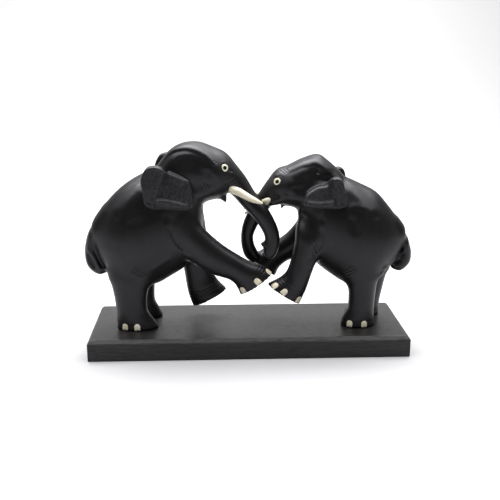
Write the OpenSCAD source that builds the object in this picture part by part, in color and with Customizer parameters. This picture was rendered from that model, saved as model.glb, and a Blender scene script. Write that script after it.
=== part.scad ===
// Pair of carved ebony elephants rearing against each other on a chamfered plinth.
// Millimetres. X runs along the plinth with the left elephant at -X, -Y is the side that
// faces the viewer (near), +Y the other side (far), +Z is up. The origin is the centre of
// the plinth's underside. Each elephant is one carving, and bone tusks, eyes and toenails
// are let into it. Four countersunk screws hold the hind feet down on the plinth.

/* [Carvings] */
// Height of the taller elephant above the plinth
carving_h = 188; // [150:1:230]
// Sides of each carved section
section_sides = 20; // [12:2:28]

/* [Plinth] */
// Thickness of the plinth
plinth_h = 21.5; // [16:0.5:30]
// Plinth left showing beyond the heels at each end
plinth_end = 18.7; // [12:0.1:60]
// Plinth left showing beside the hind feet
plinth_side = 24; // [12:1:60]
// Width and depth of the chamfer round the top edge
plinth_chamfer = 3.3; // [1:0.1:6]

/* [Tusks] */
// Diameter of a tusk where it leaves the head
tusk_d = 7.8; // [6:0.1:9]
// Diameter of the tenon that enters the head
tusk_tenon_d = 5; // [3:0.1:6]
// Length of the tenon
tusk_tenon_l = 7; // [4:0.5:9]

/* [Eyes] */
// Outer diameter of the bone eye ring
eye_d = 7.2; // [5:0.1:9]
// Diameter of the black pupil
pupil_d = 3.8; // [2:0.1:4.5]
// Depth of the eye hole in the head
eye_depth = 3; // [2:0.1:6]
// Height of the eye ring above the hole's mouth
eye_proud = 0.6; // [0.2:0.1:1.5]

/* [Toenails] */
// Width of a toenail
nail_w = 6; // [4:0.1:8]
// Height of a toenail
nail_h = 7; // [5:0.1:9]
// Thickness of a toenail
nail_t = 2.4; // [1.6:0.1:4]

/* [Screws] */
// Diameter of a screw's shank
screw_d = 4; // [3:0.1:5]
// Diameter of a screw's head
screw_head_d = 8; // [7:0.1:10]
// Depth of the screw in a hind foot
screw_grip = 14; // [8:1:20]

/* [Fits] */
// Gap round each inlaid bone piece
inlay_gap = 0.1; // [0.05:0.05:0.3]
// Gap round each screw in the plinth
screw_gap = 0.3; // [0.1:0.1:0.6]

/* [Hidden] */
$fn = 48;
drawn_h = 188;                  // height at which the sections below are drawn
k = carving_h / drawn_h;
near = -1;
far = 1;

// Every section is [front x, front z, back x, back z, centre y, half width]. The two
// points are the ends of the section's long axis, with z counted from the plinth's top.
left_torso = [
    [-156, 95, -150, 69, 0, 8], [-155, 106, -142, 60, 0, 17], [-148, 118, -129, 53, 0, 26],
    [-138, 132, -114, 45, 0, 32], [-122, 146.5, -96, 42.5, 0, 35], [-104, 157, -79, 51, 0, 34],
    [-90, 162, -63, 62, 0, 30.5], [-79, 169, -53, 77, 0, 26.5], [-70, 174, -47, 97, -1, 22],
    [-62, 177, -45.5, 117, -1, 17]];
left_head_and_trunk = [
    [-88, 165, -72, 140, -1, 14], [-79, 178.5, -58, 130, -2, 22], [-66, 186.5, -47, 128, -2, 26],
    [-50, 188, -38, 130, -2, 26.5], [-35, 183, -30, 132, -2, 24], [-22.5, 177, -24, 134, -2, 19.5],
    [-12.5, 165.5, -20, 137, -2, 15.5], [-2.5, 152.5, -14, 132, -3, 12], [6.5, 138, -6.5, 124, -7, 9.5],
    [17, 125.5, 4, 113.5, -11.5, 7.8], [25, 112, 11, 104, -12.5, 7.1],
    [30, 99.5, 15.5, 95, -12.5, 6.9], [31, 88, 16, 87.5, -12.5, 6.7], [29, 77.5, 14.5, 80.5, -12.5, 6.4],
    [24, 70.5, 15, 75, -12.5, 5]];
left_jaw = [[-42, 150, -45, 128.5, -2, 12], [-31, 147, -32, 131.5, -2, 10], [-22.5, 140, -22.5, 126.5, -2, 6]];
left_trunk_finger = [[20, 90, 20, 81, -12.5, 4.5], [14.5, 88.5, 14.5, 83, -12.5, 3.5], [12, 87, 12, 85.5, -12.5, 2]];
left_tail = [
    [-143, 123, -135, 115, 0, 13], [-154, 109, -144.5, 103, 0, 14], [-162, 94, -150, 92, 0, 13],
    [-165.5, 78, -152, 80, 0, 11], [-163.5, 62, -150, 72, 0, 9], [-153, 52.8, -146, 66, 0, 8],
    [-142, 56, -142, 66, 0, 5]];
left_near_foreleg = [
    [-60, 122, -84, 96, -14, 12], [-51, 112, -71, 82, -17, 12.5], [-39, 98.5, -54, 67, -18.5, 12],
    [-25, 86.5, -36, 57, -19, 11.5], [-11, 77, -21, 52, -19, 11], [1, 70, -14, 46.5, -19, 11],
    [13, 65.5, -11, 40.5, -18.5, 11.5], [23.5, 57.5, -8.5, 35.5, -18, 12]];
left_far_foreleg = [
    [-43.5, 117, -86, 103, 14, 12], [-43, 94, -79, 88, 17, 12.5], [-42, 71, -70, 66, 18.5, 12],
    [-39, 57, -66.5, 50, 19, 11.5], [-36, 47, -64.5, 36, 19, 11], [-31, 39, -62, 23, 18.5, 11.5],
    [-22.5, 29.5, -57.5, 11, 18, 12]];
left_near_hindleg = [
    [-97, 84, -143, 86, -12, 14], [-99, 52, -141.5, 58, -16, 13], [-102, 40, -138, 46, -16.5, 12],
    [-103.5, 28, -135.5, 32, -16.5, 11.5], [-102.5, 18, -134.5, 18, -16.5, 11.5],
    [-97, 9, -134, 9, -16.5, 11.7], [-93, 3, -134, 3, -16.5, 12], [-92.5, 0, -134, 0, -16.5, 12]];
left_far_hindleg = [
    [-92, 84, -140, 86, 12, 14], [-94, 52, -136, 58, 16, 13], [-97, 40, -131.5, 46, 16.5, 12],
    [-98, 28, -129, 32, 16.5, 11.5], [-97.5, 18, -129, 18, 16.5, 11.5],
    [-93, 9, -130, 9, 16.5, 11.7], [-90.5, 3, -131, 3, 16.5, 12], [-90.5, 0, -131, 0, 16.5, 12]];

right_torso = [
    [159, 90, 152, 66, 0, 8], [159, 100, 146, 60, 0, 17], [152.5, 109, 132, 53, 0, 26],
    [143.5, 121, 117, 45, 0, 32], [129.5, 136.5, 100, 42.5, 0, 35], [112.5, 145.5, 84, 52, 0, 34],
    [97, 152.5, 69, 64, 0, 30.5], [86, 158, 57, 77, 0, 26.5], [77, 162, 51, 94, 1, 23],
    [68, 163, 51, 112, 1, 19]];
right_head_and_trunk = [
    [90, 157, 74, 130, 1, 14], [81.5, 166.5, 62, 121, 2, 21], [70, 174.5, 53, 119, 3, 25],
    [56, 171, 46.5, 121, 3, 25], [41, 164, 38, 122.5, 3, 22], [29, 159.7, 32, 125, 3, 17.5],
    [20, 149, 28, 127, 3, 14.5], [12, 137, 22.5, 120.5, 4.5, 10.5], [5, 125, 17, 112, 8, 8],
    [-0.5, 113.5, 12.5, 104.5, 10, 7], [-5, 102, 8.5, 96.5, 10.5, 6.8], [-7, 90, 5.7, 88.5, 10.5, 6.4],
    [-6.3, 77.5, 7, 79.5, 10.5, 6], [-2.5, 66.5, 9.7, 73.5, 10.5, 5.6], [5, 60, 12, 67, 10.5, 4.2]];
right_jaw = [[48, 140, 50, 119.5, 3, 13], [39, 137, 40, 124.5, 3, 9], [32.5, 130, 33.5, 118.5, 3, 5.5]];
right_near_lip = [[35, 140, 35, 126, -5, 8], [28.5, 138, 27.5, 124.5, -7, 7],
    [22.5, 134.5, 20.5, 124, -6.6, 5.8]];
right_far_lip = [[35, 140, 35, 126, 11, 8], [28.5, 138, 27.5, 124.5, 13, 7],
    [22.5, 134.5, 20.5, 124, 13.5, 5.8]];
right_tail = [
    [150.5, 109, 142, 102, 0, 13], [160, 96, 150, 92, 0, 14], [165.5, 84, 154, 82, 0, 13],
    [168.5, 72.5, 156, 74, 0, 11], [167, 61.5, 156, 69, 0, 9],
    [158.5, 53.3, 153, 64, 0, 7.5], [150, 55.5, 150, 63, 0, 5]];
right_near_foreleg = [
    [50, 122, 84, 102, -14, 12], [47, 104, 74, 84, -17, 12.5], [45.5, 88, 68, 70, -18.5, 12],
    [42.5, 73, 63.5, 58, -19, 11.5], [38, 59.5, 59, 43.5, -19, 11], [31, 52.5, 55.5, 34, -18.5, 11.5],
    [19, 46, 51.5, 24.8, -18, 12]];
right_far_foreleg = [
    [62, 118, 86, 92, 14, 12], [52, 103, 69, 76, 17, 12.5], [42, 90, 52, 64, 19, 12],
    [31, 81, 41, 58.5, 20.5, 11.5], [19, 73, 34, 52, 20.5, 11.5], [4, 65, 29.5, 43, 20.5, 12]];
right_near_hindleg = [
    [93, 86, 142, 84, -12, 14], [98, 54, 138, 58, -16, 13], [101.5, 42, 131.5, 48, -16.5, 12],
    [102.5, 30, 129.5, 32, -16.5, 11.5], [101.7, 19, 129, 18, -16.5, 11.5],
    [97, 9, 129.5, 9, -16.5, 11.7], [95.5, 3, 130, 3, -16.5, 12], [95.5, 0, 130, 0, -16.5, 12]];
right_far_hindleg = [
    [98, 86, 148, 82, 12, 14], [108, 54, 152, 56, 16, 13], [113, 42, 147.5, 44, 16.5, 12],
    [114.5, 30, 144.5, 30, 16.5, 11.5], [113.5, 19, 142.3, 18, 16.5, 11.5],
    [108, 9, 141.3, 9, 16.5, 11.7], [105, 3, 141.3, 3, 16.5, 12], [105, 0, 141.3, 0, 16.5, 12]];

// Outlines of the ears seen from the side, x and z from the plinth's top
left_ear = [[-104, 155], [-99, 166], [-91, 168.5], [-84, 166.5], [-79, 161], [-64, 155], [-57.5, 150],
    [-56, 128], [-77, 128], [-99, 130], [-102, 143]];
right_ear = [[78, 154], [83, 156.5], [89, 154], [92, 142], [93, 128.5], [73, 127], [54, 128],
    [54.5, 138], [60, 143], [67, 146.5], [75, 148]];
ear_front_y = 32;               // outer face of the ear at its front edge
ear_rear_y = 34;                // and at its rear edge, which flares from the neck
left_far_ear_shift = [9, 4];    // how far the far ear is ahead of and above the near one
right_far_ear_shift = [11.5, 0.5];
ear_thickness = 9;
ear_round = 2;

// Eyes: centre of the hole's mouth and the way it faces, as a turn about Z and a tilt
left_eye = [-24, 18.1, 164.6];
right_eye = [28, 14.3, 149.2];
eye_turn = 22;                  // degrees that an eye looks forward
eye_tilt = 12;                  // degrees that an eye looks up

// Tusk centre lines from the head to the tip, as [x, y, z, share of the root's radius]
left_near_tusk_line = [[-16, -15.2, 142.2, 1], [-10, -17.5, 140.3, 1], [-2, -19.5, 136, 0.88],
    [6, -21.5, 132.3, 0.66], [12, -23, 130.4, 0.28]];
left_far_tusk_line = [[-16, 11.2, 142.2, 1], [-10, 13, 140.3, 1], [-2, 14.5, 136, 0.88],
    [6, 16, 132.3, 0.66], [12, 17.5, 130.4, 0.28]];
right_near_tusk_line = [[25, -7.5, 131.3, 1], [18.5, -5, 128.8, 0.94], [11, 0.6, 124, 0.76],
    [4, 0.8, 119, 0.58], [-2.5, 0.5, 115.3, 0.3]];
right_far_tusk_line = [[25, 14.5, 131.5, 1], [18.5, 18, 128.8, 0.96], [11, 21.5, 124, 0.82],
    [4, 22.5, 119, 0.6], [-3, 22.5, 115.5, 0.3]];

// Toenails: angles round the sole from the toe over the outer side
fore_nail_angles_left = [15, 77, 138];
fore_nail_angles_right = [36, 77, 140];
hind_nail_angles_left = [88, 125];
hind_nail_angles_right = [54, 106];
nail_lift = 1;                  // height of a toenail's foot above the sole
nail_proud = 0.5;               // how far a toenail stands out of the foot

// Screws sit under the middle of each hind foot
screw_recess = 1;
screw_head_h = 3;
left_screw_x = -113;
right_near_screw_x = 114;
right_far_screw_x = 123;
screw_y = 16.5;
screw_l = plinth_h + screw_grip - screw_recess;

heel_x = max(-left_near_hindleg[len(left_near_hindleg) - 1][2], right_far_hindleg[len(right_far_hindleg) - 1][2]);
foot_side_y = -left_near_hindleg[len(left_near_hindleg) - 1][4] + left_near_hindleg[len(left_near_hindleg) - 1][5];
plinth_l = 2 * (k * heel_x + plinth_end);
plinth_d = 2 * (k * foot_side_y + plinth_side);

// Feet by name: the sections of the leg, its side of the body and its nail angles
FEET = [
    ["left_near_fore", left_near_foreleg, near, fore_nail_angles_left],
    ["left_far_fore", left_far_foreleg, far, fore_nail_angles_left],
    ["left_near_hind", left_near_hindleg, near, hind_nail_angles_left],
    ["left_far_hind", left_far_hindleg, far, hind_nail_angles_left],
    ["right_near_fore", right_near_foreleg, near, fore_nail_angles_right],
    ["right_far_fore", right_far_foreleg, far, fore_nail_angles_right],
    ["right_near_hind", right_near_hindleg, near, hind_nail_angles_right],
    ["right_far_hind", right_far_hindleg, far, hind_nail_angles_right]];
SCREWS = [
    ["left_near_screw", left_screw_x, near], ["left_far_screw", left_screw_x, far],
    ["right_near_screw", right_near_screw_x, near], ["right_far_screw", right_far_screw_x, far]];
EYES = [
    ["left_near", left_eye, near, -2, 1], ["left_far", left_eye, far, -2, 1],
    ["right_near", right_eye, near, 3, -1], ["right_far", right_eye, far, 3, -1]];
TUSKS = [
    ["left_near_tusk", left_near_tusk_line], ["left_far_tusk", left_far_tusk_line],
    ["right_near_tusk", right_near_tusk_line], ["right_far_tusk", right_far_tusk_line]];
nail_names = [for (f = FEET) for (i = [0 : len(f[3]) - 1]) str(f[0], "_nail_", i + 1)];

// A drawn point at the model's scale, standing on the plinth
function placed(x, y, z) = [k * x, k * y, plinth_h + k * z];
// One value between b and c on the smooth curve through a, b, c and d
function through(a, b, c, d, t) =
    b + 0.5 * t * (c - a + t * (2 * a - 5 * b + 4 * c - d + t * (3 * (b - c) + d - a)));
// The sections with steps - 1 smooth ones added between each pair
function smoothed(s, steps) = [
    for (i = [0 : len(s) - 2]) for (j = [0 : steps - 1])
        through(s[max(i - 1, 0)], s[i], s[i + 1], s[min(i + 2, len(s) - 1)], j / steps),
    s[len(s) - 1]];
function ring(s, sides) = [
    for (i = [0 : sides - 1]) let (a = 360 * i / sides)
        placed((s[0] + s[2]) / 2 + cos(a) * (s[0] - s[2]) / 2, s[4] + sin(a) * s[5],
               (s[1] + s[3]) / 2 + cos(a) * (s[1] - s[3]) / 2)];
function unit(v) = v / norm(v);
function last(s) = s[len(s) - 1];
// A point on a section's outline, at an angle from its front end round the side given
function on_section(s, angle, side) =
    placed((s[0] + s[2]) / 2 + cos(angle) * (s[0] - s[2]) / 2, s[4] + side * sin(angle) * s[5],
           (s[1] + s[3]) / 2 + cos(angle) * (s[1] - s[3]) / 2);

// A closed skin over rings of points that follow each other
module skin(rings) {
    sides = len(rings[0]);
    count = len(rings);
    middle = [for (r = [0, 1]) (rings[r][0] + rings[r][sides / 2]) / 2];
    turned = cross(rings[0][0] - middle[0], rings[0][sides / 4] - middle[0]) * (middle[1] - middle[0]) > 0;
    faces = concat(
        [[for (i = [0 : sides - 1]) i]],
        [for (r = [0 : count - 2]) for (i = [0 : sides - 1]) let (n = (i + 1) % sides)
            for (f = [[r * sides + i, (r + 1) * sides + i, (r + 1) * sides + n],
                      [r * sides + i, (r + 1) * sides + n, r * sides + n]]) f],
        [[for (i = [sides - 1 : -1 : 0]) (count - 1) * sides + i]]);
    polyhedron(
        points = [for (r = rings) for (p = r) p],
        faces = turned ? faces : [for (f = faces) [for (i = [len(f) - 1 : -1 : 0]) f[i]]],
        convexity = 6);
}

// A limb, body or head through its drawn sections
module loft(sections) skin([for (s = smoothed(sections, 2)) ring(s, section_sides)]);

// One ear as a thick plate, hinged at its front edge
module ear(drawn, side, far_shift) {
    outline = [for (p = drawn) p + (side == far ? far_shift : [0, 0])];
    reach = [for (p = outline) abs(p[0])];
    rearward = outline[0][0] < 0 ? -1 : 1;
    lean = atan2(ear_front_y - ear_rear_y, max(reach) - min(reach));
    front_x = rearward * min(reach);
    translate([k * front_x, side * k * ear_front_y, plinth_h])
        rotate([0, 0, -side * rearward * lean])
            translate([-k * front_x, side > 0 ? 0 : k * ear_thickness, 0])
                rotate([90, 0, 0])
                    linear_extrude(k * ear_thickness)
                        offset(k * ear_round) offset(-k * ear_round)
                            polygon([for (p = outline) k * p]);
}

// Tusk: a tenon in the head, then a curved horn that tapers to the tip
function tusk_rings(line, gap) = let (s = smoothed(line, 3), n = len(s))
    [for (i = [0 : n - 1])
        let (ahead = unit(placed(s[min(i + 1, n - 1)][0], s[min(i + 1, n - 1)][1], s[min(i + 1, n - 1)][2])
                          - placed(s[max(i - 1, 0)][0], s[max(i - 1, 0)][1], s[max(i - 1, 0)][2])),
             u = unit(cross(ahead, [0, 1, 0])), v = cross(ahead, u), r = s[i][3] * tusk_d / 2 + gap)
            [for (a = [0 : 22.5 : 337.5])
                placed(s[i][0], s[i][1], s[i][2]) + r * cos(a) * u + r * sin(a) * v]];
module along_root(line) {
    a = placed(line[0][0], line[0][1], line[0][2]);
    d = unit(placed(line[1][0], line[1][1], line[1][2]) - a);
    translate(a) rotate([0, acos(d[2]), atan2(d[1], d[0])]) children();
}
module tusk(line) {
    color("ivory") {
        skin(tusk_rings(line, 0));
        along_root(line) translate([0, 0, -tusk_tenon_l]) cylinder(h = tusk_tenon_l, d = tusk_tenon_d);
    }
}
module tusk_seat(line) skin(tusk_rings(line, inlay_gap));
module tenon_socket(line)
    along_root(line)
        translate([0, 0, -tusk_tenon_l - inlay_gap])
            cylinder(h = tusk_tenon_l + 2 * inlay_gap, d = tusk_tenon_d + 2 * inlay_gap);

// Eye: a bone ring round a black pin, both in one round hole
module facing_eye(e) {
    at = e[1];
    translate(placed(at[0], e[3] + e[2] * at[1], at[2]))
        rotate([0, 0, e[2] * (90 - e[4] * eye_turn)])
            rotate([0, 90 - eye_tilt, 0]) children();
}
module eye_ring(e) {
    bore_r = pupil_d / 2 + inlay_gap;
    color("ivory") facing_eye(e)
        rotate_extrude()
            polygon(concat(
                [[bore_r, -eye_depth], [eye_d / 2, -eye_depth], [eye_d / 2, 0]],
                [for (a = [15 : 15 : 75])
                    [bore_r + (eye_d / 2 - bore_r) * cos(a), eye_proud * sin(a)]],
                [[bore_r, eye_proud]]));
}
module pupil(e) {
    color("black") facing_eye(e)
        translate([0, 0, -eye_depth]) cylinder(h = eye_depth + eye_proud, d = pupil_d);
}
module eye_hole(e)
    facing_eye(e)
        translate([0, 0, -eye_depth - inlay_gap])
            cylinder(h = 3 * eye_depth, d = eye_d + 2 * inlay_gap);

// Toenail: a flat-footed arch let into the foot's side just above the sole
module toenail_place(sections, side, angle) {
    sole = last(sections);
    above = sections[len(sections) - 2];
    at = on_section(sole, angle, side);
    up = unit(on_section(above, angle, side) - at);
    beside = unit(on_section(sole, angle + 2, side) - on_section(sole, angle - 2, side));
    across = unit(beside - (beside * up) * up);
    out_raw = cross(across, up);
    centre = (on_section(sole, 0, side) + on_section(sole, 180, side)) / 2;
    flip = out_raw * (at - centre) > 0 ? 1 : -1;
    out = flip * out_raw;
    x = flip * across;
    p = at + nail_lift * up;
    multmatrix([[x[0], up[0], out[0], p[0]], [x[1], up[1], out[1], p[1]], [x[2], up[2], out[2], p[2]]])
        children();
}
module nail_arch(gap) {
    shoulder_h = nail_h - nail_w / 2;
    w = nail_w + 2 * gap;
    translate([-w / 2, -gap]) square([w, shoulder_h + gap]);
    translate([0, shoulder_h]) circle(d = w, $fn = 20);
}
module toenail(sections, side, angle)
    color("ivory") toenail_place(sections, side, angle)
        translate([0, 0, nail_proud - nail_t]) linear_extrude(nail_t) nail_arch(0);
module toenail_pocket(sections, side, angle)
    toenail_place(sections, side, angle)
        translate([0, 0, nail_proud - nail_t - inlay_gap]) linear_extrude(2 * nail_t) nail_arch(inlay_gap);

// Screw: countersunk, driven up through the plinth into a hind foot
module screw_place(s) translate([k * s[1], s[2] * k * screw_y, 0]) children();
module screw(s)
    color("silver") screw_place(s) {
        translate([0, 0, screw_recess]) cylinder(h = screw_head_h, d1 = screw_head_d, d2 = screw_d);
        translate([0, 0, screw_recess + screw_head_h]) cylinder(h = screw_l - screw_head_h, d = screw_d);
    }
module screw_clearance(s)
    screw_place(s) {
        translate([0, 0, -1]) cylinder(h = screw_recess + 1, d = screw_head_d + 2 * screw_gap);
        translate([0, 0, screw_recess])
            cylinder(h = screw_head_h, d1 = screw_head_d + 2 * screw_gap, d2 = screw_d + 2 * screw_gap);
        translate([0, 0, screw_recess]) cylinder(h = plinth_h, d = screw_d + 2 * screw_gap);
    }
module screw_pilot(s)
    screw_place(s)
        translate([0, 0, plinth_h - 1]) cylinder(h = screw_grip + 2, d = screw_d + 2 * inlay_gap);

module plinth() {
    bevelled = plinth_h - plinth_chamfer;
    color("dimgray") difference() {
        polyhedron(
            points = [for (level = [[0, 0], [bevelled, 0], [plinth_h, plinth_chamfer]])
                for (c = [[-1, -1], [1, -1], [1, 1], [-1, 1]])
                    [c[0] * (plinth_l / 2 - level[1]), c[1] * (plinth_d / 2 - level[1]), level[0]]],
            faces = concat(
                [[0, 1, 2, 3], [11, 10, 9, 8]],
                [for (r = [0, 4]) for (i = [0 : 3]) [r + i, r + i + 4, r + (i + 1) % 4 + 4, r + (i + 1) % 4]]));
        for (s = SCREWS) screw_clearance(s);
    }
}

// The union of all that is carved from one block, less the seats of tusks and toenails
module carved(name, lofts, ear_outline, far_ear_shift) {
    resize([0, 0, 0]) difference() {
        union() {
            for (s = lofts) loft(s);
            for (side = [near, far]) ear(ear_outline, side, far_ear_shift);
        }
        for (t = TUSKS) if (starts_with(t[0], name)) tusk_seat(t[1]);
        for (f = FEET) if (starts_with(f[0], name))
            for (a = f[3]) toenail_pocket(f[1], f[2], a);
    }
}
function starts_with(text_in, name) = len(name) <= len(text_in)
    && len([for (i = [0 : len(name) - 1]) if (text_in[i] != name[i]) 1]) == 0;
module bored(name) {
    difference() {
        children();
        for (t = TUSKS) if (starts_with(t[0], name)) tenon_socket(t[1]);
        for (e = EYES) if (starts_with(e[0], name)) eye_hole(e);
        for (s = SCREWS) if (starts_with(s[0], name)) screw_pilot(s);
    }
}
module left_elephant()
    color("#26242a") bored("left") carved("left", [
        left_torso, left_head_and_trunk, left_jaw, left_trunk_finger, left_tail,
        left_near_foreleg, left_far_foreleg, left_near_hindleg, left_far_hindleg], left_ear, left_far_ear_shift);
module right_elephant()
    color("#26242a") bored("right") carved("right", [
        right_torso, right_head_and_trunk, right_jaw, right_near_lip, right_far_lip, right_tail,
        right_near_foreleg, right_far_foreleg, right_near_hindleg, right_far_hindleg],
        right_ear, right_far_ear_shift);

plinth();
left_elephant();
right_elephant();
for (t = TUSKS) tusk(t[1]);
for (e = EYES) eye_ring(e);
for (e = EYES) pupil(e);
for (f = FEET) for (i = [0 : len(f[3]) - 1])
    toenail(f[1], f[2], f[3][i]);
for (s = SCREWS) screw(s);
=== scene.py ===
"""A pair of carved ebony elephants rearing against each other on a stained plinth,
with bone tusks, eyes and toenails let into the wood."""
import math

import bmesh
import bpy
import numpy as np
from mathutils import Matrix, Vector


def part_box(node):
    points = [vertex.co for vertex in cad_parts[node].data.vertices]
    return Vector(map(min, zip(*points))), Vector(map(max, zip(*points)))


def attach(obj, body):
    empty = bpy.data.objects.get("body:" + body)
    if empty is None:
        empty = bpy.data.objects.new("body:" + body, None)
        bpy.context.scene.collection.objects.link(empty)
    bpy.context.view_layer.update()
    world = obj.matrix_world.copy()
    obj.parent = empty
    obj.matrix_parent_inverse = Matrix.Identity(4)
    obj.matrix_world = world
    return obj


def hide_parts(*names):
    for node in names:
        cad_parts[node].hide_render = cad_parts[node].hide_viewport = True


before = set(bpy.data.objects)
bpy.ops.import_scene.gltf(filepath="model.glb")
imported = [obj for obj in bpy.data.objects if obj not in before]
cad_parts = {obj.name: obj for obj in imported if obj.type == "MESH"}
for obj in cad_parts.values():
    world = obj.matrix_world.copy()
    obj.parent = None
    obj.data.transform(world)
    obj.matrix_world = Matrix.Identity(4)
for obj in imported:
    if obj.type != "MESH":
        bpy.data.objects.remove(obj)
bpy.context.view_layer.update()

MM = 0.001
NEAR, FAR, BOTH = -1, 1, 0
PLINTH = [list(corner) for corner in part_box("plinth")]
PLINTH_TOP = PLINTH[1][2] / MM
LEGS = ("near_fore", "far_fore", "near_hind", "far_hind")
CORNERS = ("left_near", "left_far", "right_near", "right_far")

# ---- Tables ----
# The carvings' sections, in millimetres above the plinth's top: front x, front z, back x,
# back z, centre y and half width. The two points are the ends of the section's long axis.
LEFT = {
    "name": "left",
    "head_y": -2,
    "torso": [[-156, 95, -150, 69, 0, 8], [-155, 106, -142, 60, 0, 17], [-148, 118, -129, 53, 0, 26],
        [-138, 132, -114, 45, 0, 32], [-122, 146.5, -96, 42.5, 0, 35], [-104, 157, -79, 51, 0, 34],
        [-90, 162, -63, 62, 0, 30.5], [-79, 169, -53, 77, 0, 26.5], [-70, 174, -47, 97, -1, 22],
        [-62, 177, -45.5, 117, -1, 17]],
    "head": [[-88, 165, -72, 140, -1, 14], [-79, 178.5, -58, 130, -2, 22],
        [-66, 186.5, -47, 128, -2, 26], [-50, 188, -38, 130, -2, 26.5], [-35, 183, -30, 132, -2, 24],
        [-22.5, 177, -24, 134, -2, 19.5], [-12.5, 165.5, -20, 137, -2, 15.5],
        [-2.5, 152.5, -14, 132, -3, 12], [6.5, 138, -6.5, 124, -7, 9.5],
        [17, 125.5, 4, 113.5, -11.5, 7.8], [25, 112, 11, 104, -12.5, 7.1],
        [30, 99.5, 15.5, 95, -12.5, 6.9], [31, 88, 16, 87.5, -12.5, 6.7],
        [29, 77.5, 14.5, 80.5, -12.5, 6.4], [24, 70.5, 15, 75, -12.5, 5]],
    "jaw": [[-42, 150, -45, 128.5, -2, 12], [-31, 147, -32, 131.5, -2, 10],
        [-22.5, 140, -22.5, 126.5, -2, 6]],
    "finger": [[20, 90, 20, 81, -12.5, 4.5], [14.5, 88.5, 14.5, 83, -12.5, 3.5],
        [12, 87, 12, 85.5, -12.5, 2]],
    "tail": [[-143, 123, -135, 115, 0, 13], [-154, 109, -144.5, 103, 0, 14],
        [-162, 94, -150, 92, 0, 13], [-165.5, 78, -152, 80, 0, 11], [-163.5, 62, -150, 72, 0, 9],
        [-153, 52.8, -146, 66, 0, 8], [-142, 56, -142, 66, 0, 5]],
    "near_fore": [[-60, 122, -84, 96, -14, 12], [-51, 112, -71, 82, -17, 12.5],
        [-39, 98.5, -54, 67, -18.5, 12], [-25, 86.5, -36, 57, -19, 11.5], [-11, 77, -21, 52, -19, 11],
        [1, 70, -14, 46.5, -19, 11], [13, 65.5, -11, 40.5, -18.5, 11.5],
        [23.5, 57.5, -8.5, 35.5, -18, 12]],
    "far_fore": [[-47, 124, -86, 108, 13, 12], [-43, 94, -79, 88, 17, 12.5],
        [-42, 71, -70, 66, 18.5, 12], [-39, 57, -66.5, 50, 19, 11.5], [-36, 47, -64.5, 36, 19, 11],
        [-31, 39, -62, 23, 18.5, 11.5], [-22.5, 29.5, -57.5, 11, 18, 12]],
    "near_hind": [[-97, 84, -143, 86, -12, 14], [-99, 52, -141.5, 58, -16, 13],
        [-102, 40, -138, 46, -16.5, 12], [-103.5, 28, -135.5, 32, -16.5, 11.5],
        [-102.5, 18, -134.5, 18, -16.5, 11.5], [-97, 9, -134, 9, -16.5, 11.7],
        [-93, 3, -134, 3, -16.5, 12], [-92.5, 0, -134, 0, -16.5, 12]],
    "far_hind": [[-92, 84, -140, 86, 12, 14], [-94, 52, -136, 58, 16, 13],
        [-97, 40, -131.5, 46, 16.5, 12], [-98, 28, -129, 32, 16.5, 11.5],
        [-97.5, 18, -129, 18, 16.5, 11.5], [-93, 9, -130, 9, 16.5, 11.7],
        [-90.5, 3, -131, 3, 16.5, 12], [-90.5, 0, -131, 0, 16.5, 12]],
    "ear": [[-104, 155], [-99, 166], [-91, 168.5], [-84, 166.5], [-79, 161], [-64, 155], [-57.5, 150],
        [-56, 128], [-77, 128], [-99, 130], [-102, 143]],
    "ear_fold": [[-80, 163], [-84, 152], [-87.5, 142], [-89.5, 137]],
    "ear_ledge": [[-90, 135.5], [-79.5, 134], [-70, 132], [-62, 129.5]],
    "far_ear_shift": [9, 4],
    "eye": [-24, 18.1, 164.6],
    "facing": 1,
    "nails": {"fore": [15, 77, 138], "hind": [88, 125]},
}
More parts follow.
